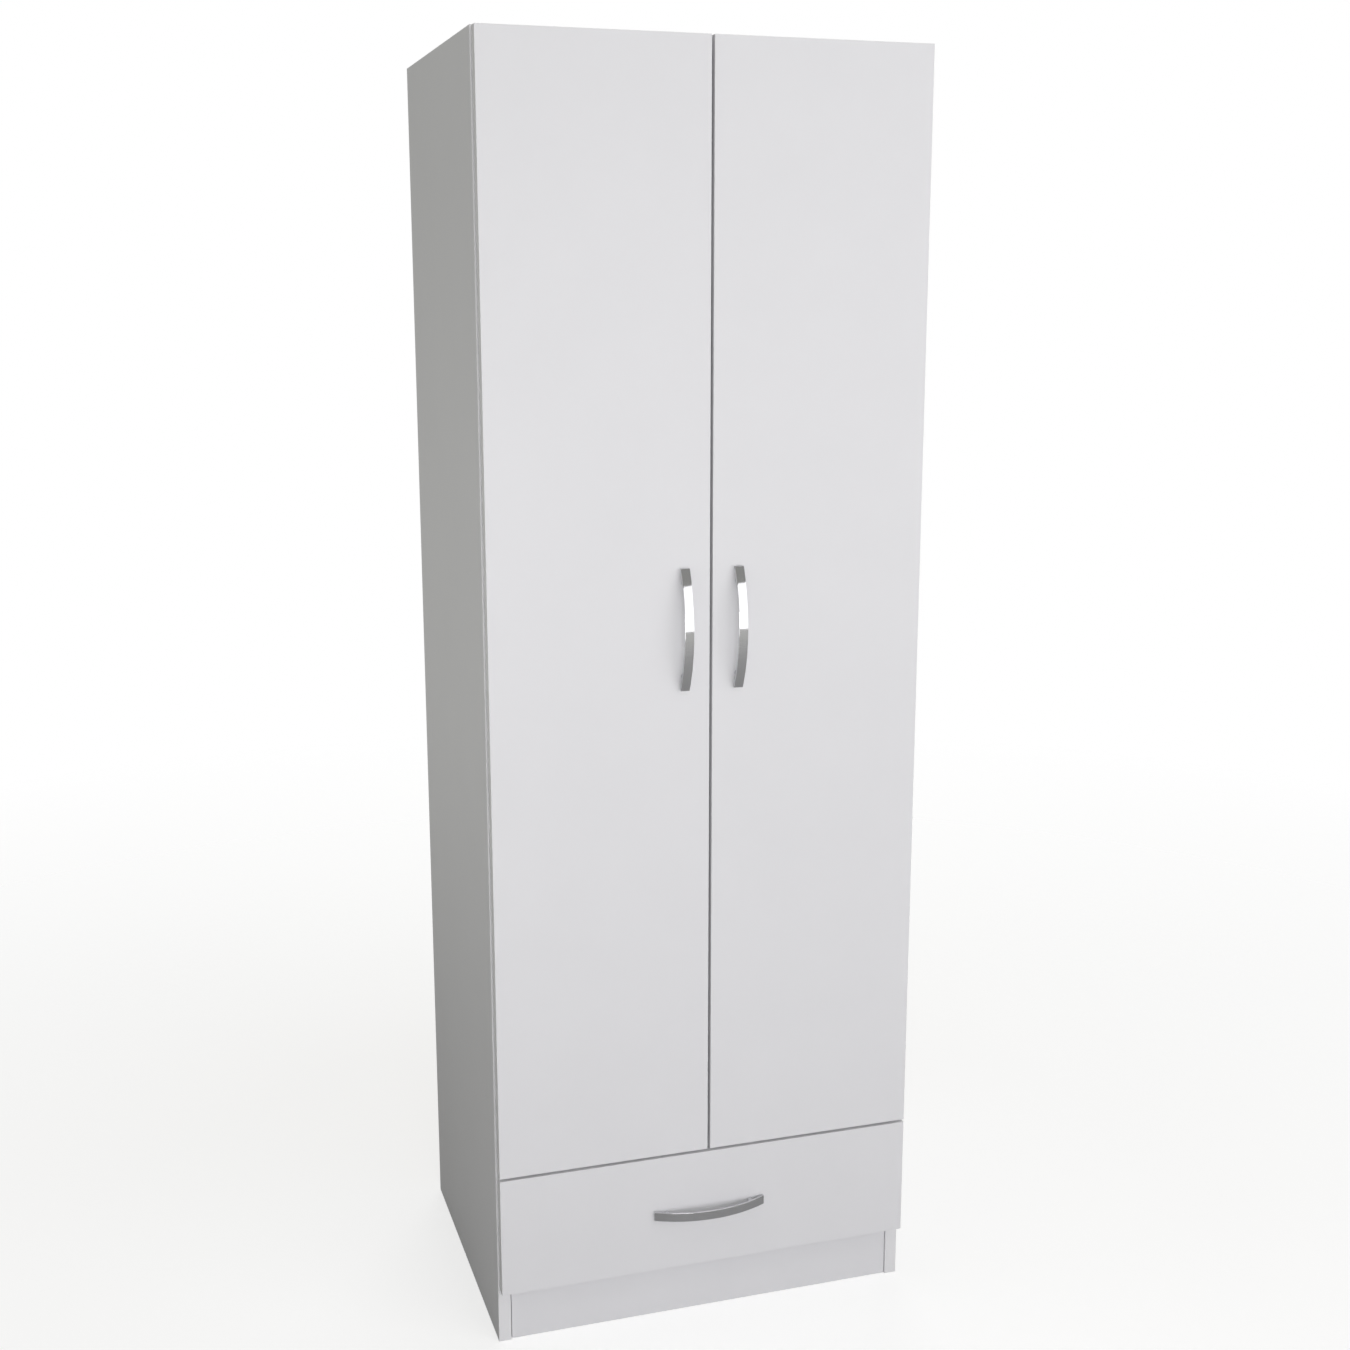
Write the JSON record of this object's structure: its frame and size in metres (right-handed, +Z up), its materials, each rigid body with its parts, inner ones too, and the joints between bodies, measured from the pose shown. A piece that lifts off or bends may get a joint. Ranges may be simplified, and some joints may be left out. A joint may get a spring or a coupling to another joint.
{
  "type": "wardrobe with doors",
  "caption": "Tall free-standing wardrobe with paired hinged doors over a full-width drawer, bowed chrome handles, a plinth, and a hat shelf and hanging rail inside.",
  "frame": {"origin": "on the floor, at the middle of the footprint", "axes": "+X to the right seen from the front, the doors face -Y, +Z up"},
  "size_m": [0.622, 0.516, 1.8],
  "materials": {
    "white_laminate": "satin white melamine on chipboard",
    "drawer_laminate": "matt white foil on chipboard",
    "hardboard": "white-faced hardboard, brown behind",
    "chrome": "polished",
    "nickel_steel": "nickel-plated",
    "zinc_steel": "zinc-plated",
    "white_coated_steel": "white powder coat",
    "zinc_diecast": "die-cast zinc",
    "white_plastic": "extruded, matt",
    "nylon": "moulded nylon",
    "beech": "fluted hardwood",
    "clear_rubber": "soft clear"
  },
  "bodies": {
    "carcass": {"side_panel_left": "white_laminate", "side_panel_right": "white_laminate", "top_panel": "white_laminate", "divider_panel": "white_laminate", "base_panel": "white_laminate", "plinth_board": "white_laminate", "hat_shelf": "white_laminate", "back_panel_upper": "hardboard", "back_panel_lower": "hardboard", "back_joining_strip": "white_plastic", "back_panel_pins": "zinc_steel", "cam_locks": "zinc_diecast", "cam_bolts": "zinc_steel", "wooden_dowels": "beech", "shelf_support_pins": "nickel_steel", "hanging_rail": "chrome", "rail_socket_left": "chrome", "rail_socket_right": "chrome", "rail_socket_screws": "zinc_steel", "hinge_mounting_plates": "nickel_steel", "hinge_plate_screws": "zinc_steel", "hinge_arms": "nickel_steel", "hinge_arm_screws": "zinc_steel", "runner_cabinet_left": "white_coated_steel", "runner_cabinet_right": "white_coated_steel", "runner_cabinet_screws": "zinc_steel", "wall_brackets": "zinc_steel", "wall_bracket_screws": "zinc_steel"},
    "left_door": {"door_left": "white_laminate", "door_handle_left": "chrome", "door_handle_screws_left": "zinc_steel", "hinge_cups_left": "nickel_steel", "hinge_pins_left": "nickel_steel", "hinge_cup_screws_left": "zinc_steel", "door_bumpers_left": "clear_rubber"},
    "right_door": {"door_right": "white_laminate", "door_handle_right": "chrome", "door_handle_screws_right": "zinc_steel", "hinge_cups_right": "nickel_steel", "hinge_pins_right": "nickel_steel", "hinge_cup_screws_right": "zinc_steel", "door_bumpers_right": "clear_rubber"},
    "drawer": {"drawer_front": "white_laminate", "drawer_side_left": "drawer_laminate", "drawer_side_right": "drawer_laminate", "drawer_back": "drawer_laminate", "drawer_bottom": "hardboard", "drawer_handle": "chrome", "drawer_handle_screws": "zinc_steel", "drawer_cam_locks": "zinc_diecast", "drawer_cam_bolts": "zinc_steel", "drawer_back_screws": "zinc_steel", "runner_drawer_left": "white_coated_steel", "runner_drawer_right": "white_coated_steel", "runner_drawer_screws": "zinc_steel", "drawer_bumpers": "clear_rubber"},
    "cabinet_roller_left": {"roller_cabinet_left": "nylon"},
    "cabinet_roller_right": {"roller_cabinet_right": "nylon"},
    "drawer_roller_left": {"roller_drawer_left": "nylon"},
    "drawer_roller_right": {"roller_drawer_right": "nylon"}
  },
  "joints": [
    {"name": "left_door_swing", "type": "hinge", "parent": "carcass", "child": "left_door", "pos_m": [-0.3015, -0.2262, 1.031], "axis": [0, 0, -1], "range_deg": [0, 95]},
    {"name": "right_door_swing", "type": "hinge", "parent": "carcass", "child": "right_door", "pos_m": [0.3015, -0.2262, 1.031], "axis": [0, 0, 1], "range_deg": [0, 95]},
    {"name": "drawer_slide", "type": "slide", "parent": "carcass", "child": "drawer", "axis": [0, -1, 0], "range_m": [0, 0.3]},
    {"name": "cabinet_roller_left_spin", "type": "hinge", "parent": "carcass", "child": "cabinet_roller_left", "pos_m": [-0.286, -0.201, 0.1244], "axis": [1, 0, 0], "continuous": true},
    {"name": "cabinet_roller_right_spin", "type": "hinge", "parent": "carcass", "child": "cabinet_roller_right", "pos_m": [0.286, -0.201, 0.1244], "axis": [1, 0, 0], "continuous": true},
    {"name": "drawer_roller_left_spin", "type": "hinge", "parent": "drawer", "child": "drawer_roller_left", "pos_m": [-0.286, 0.174, 0.12185], "axis": [1, 0, 0], "continuous": true},
    {"name": "drawer_roller_right_spin", "type": "hinge", "parent": "drawer", "child": "drawer_roller_right", "pos_m": [0.286, 0.174, 0.12185], "axis": [1, 0, 0], "continuous": true}
  ],
  "couplings": [
    {"joint": "cabinet_roller_left_spin", "follows": "drawer_slide", "rad_per_m": 116.28},
    {"joint": "cabinet_roller_right_spin", "follows": "drawer_slide", "rad_per_m": 116.28},
    {"joint": "drawer_roller_left_spin", "follows": "drawer_slide", "rad_per_m": 116.28},
    {"joint": "drawer_roller_right_spin", "follows": "drawer_slide", "rad_per_m": 116.28}
  ]
}
